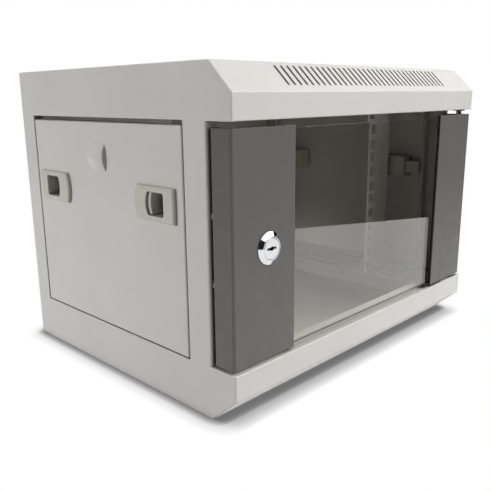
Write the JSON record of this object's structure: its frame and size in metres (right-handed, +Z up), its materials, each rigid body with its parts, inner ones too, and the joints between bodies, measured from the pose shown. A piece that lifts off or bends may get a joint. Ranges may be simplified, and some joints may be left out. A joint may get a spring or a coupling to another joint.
{
  "type": "wall mount network cabinet",
  "caption": "Small wall cabinet for 10-inch rack gear: glazed lockable front door, vented sloped header, latched lift-off side panels, rails inside.",
  "frame": {"origin": "centre of the bounding box, on the base", "axes": "+X to the right seen from the front, +Y to the wall, +Z up"},
  "size_m": [0.349, 0.2806, 0.254],
  "materials": {
    "body_paint": "light grey powder coat, fine texture, semi-matt",
    "rail_paint": "light grey powder coat",
    "door_paint": "dark grey fine-textured powder coat",
    "glass": "clear toughened glass",
    "chrome": "polished",
    "zinc": "zinc plated",
    "black_rubber": "black, matt",
    "pale_rubber": "pale grey, matt",
    "latch_plastic": "warm light grey moulded plastic",
    "bush_plastic": "black nylon"
  },
  "bodies": {
    "cabinet": {"side_frame_left": "body_paint", "side_frame_right": "body_paint", "top_cover": "body_paint", "bottom_pan": "body_paint", "rear_panel": "body_paint", "top_cable_plate": "body_paint", "bottom_cable_plate": "body_paint", "depth_bracket_lower_left": "rail_paint", "depth_bracket_lower_right": "rail_paint", "depth_bracket_upper_left": "rail_paint", "depth_bracket_upper_right": "rail_paint", "rail_left": "rail_paint", "rail_right": "rail_paint", "rear_edge_trim": "black_rubber", "cable_plate_screws": "zinc", "rail_bolts": "zinc", "rail_nuts": "zinc", "hinge_bush_top": "bush_plastic", "hinge_bush_bottom": "bush_plastic", "door_bumpers": "pale_rubber", "earth_stud": "zinc", "earth_nut": "zinc"},
    "door": {"door_strip_left": "door_paint", "door_strip_right": "door_paint", "door_glass": "glass", "glass_tape_left": "black_rubber", "glass_seal_right": "black_rubber", "hinge_bracket_top": "zinc", "hinge_bracket_bottom": "zinc", "hinge_pin_bottom": "zinc", "hinge_spring": "zinc", "lock_housing": "chrome", "lock_nut": "zinc"},
    "lock": {"lock_plug": "chrome", "lock_cam": "zinc", "cam_screw": "zinc"},
    "upper_pin": {"hinge_pin_top": "zinc"},
    "latch_left_front": {"latch_slider_left_front": "latch_plastic"},
    "latch_left_rear": {"latch_slider_left_rear": "latch_plastic"},
    "left_panel": {"side_panel_left": "body_paint", "latch_housing_left_front": "latch_plastic", "latch_housing_left_rear": "latch_plastic"},
    "latch_right_front": {"latch_slider_right_front": "latch_plastic"},
    "latch_right_rear": {"latch_slider_right_rear": "latch_plastic"},
    "right_panel": {"side_panel_right": "body_paint", "latch_housing_right_front": "latch_plastic", "latch_housing_right_rear": "latch_plastic"}
  },
  "joints": [
    {"name": "door_hinge", "type": "hinge", "parent": "cabinet", "child": "door", "pos_m": [0.161, -0.1307, 0.12735], "axis": [0, 0, 1], "range_deg": [0, 180]},
    {"name": "lock_turn", "type": "hinge", "parent": "door", "child": "lock", "pos_m": [-0.133, -0.1377, 0.127], "axis": [0, 1, 0], "range_deg": [0, 90]},
    {"name": "upper_pin_slide", "type": "slide", "parent": "door", "child": "upper_pin", "axis": [0, 0, -1], "range_m": [0, 0.0065], "stiffness_N_per_m": 300, "springref_m": -0.004, "deforming": ["hinge_spring"]},
    {"name": "left_panel_tilt", "type": "hinge", "parent": "cabinet", "child": "left_panel", "pos_m": [-0.17, 0.01405, 0.0405], "axis": [0, -1, 0], "range_deg": [0, 25]},
    {"name": "latch_left_front_slide", "type": "slide", "parent": "left_panel", "child": "latch_left_front", "axis": [0, -1, 0], "range_m": [0, 0.004]},
    {"name": "latch_left_rear_slide", "type": "slide", "parent": "left_panel", "child": "latch_left_rear", "axis": [0, 1, 0], "range_m": [0, 0.004]},
    {"name": "right_panel_tilt", "type": "hinge", "parent": "cabinet", "child": "right_panel", "pos_m": [0.17, 0.01405, 0.0405], "axis": [0, 1, 0], "range_deg": [0, 25]},
    {"name": "latch_right_front_slide", "type": "slide", "parent": "right_panel", "child": "latch_right_front", "axis": [0, -1, 0], "range_m": [0, 0.004]},
    {"name": "latch_right_rear_slide", "type": "slide", "parent": "right_panel", "child": "latch_right_rear", "axis": [0, 1, 0], "range_m": [0, 0.004]}
  ]
}
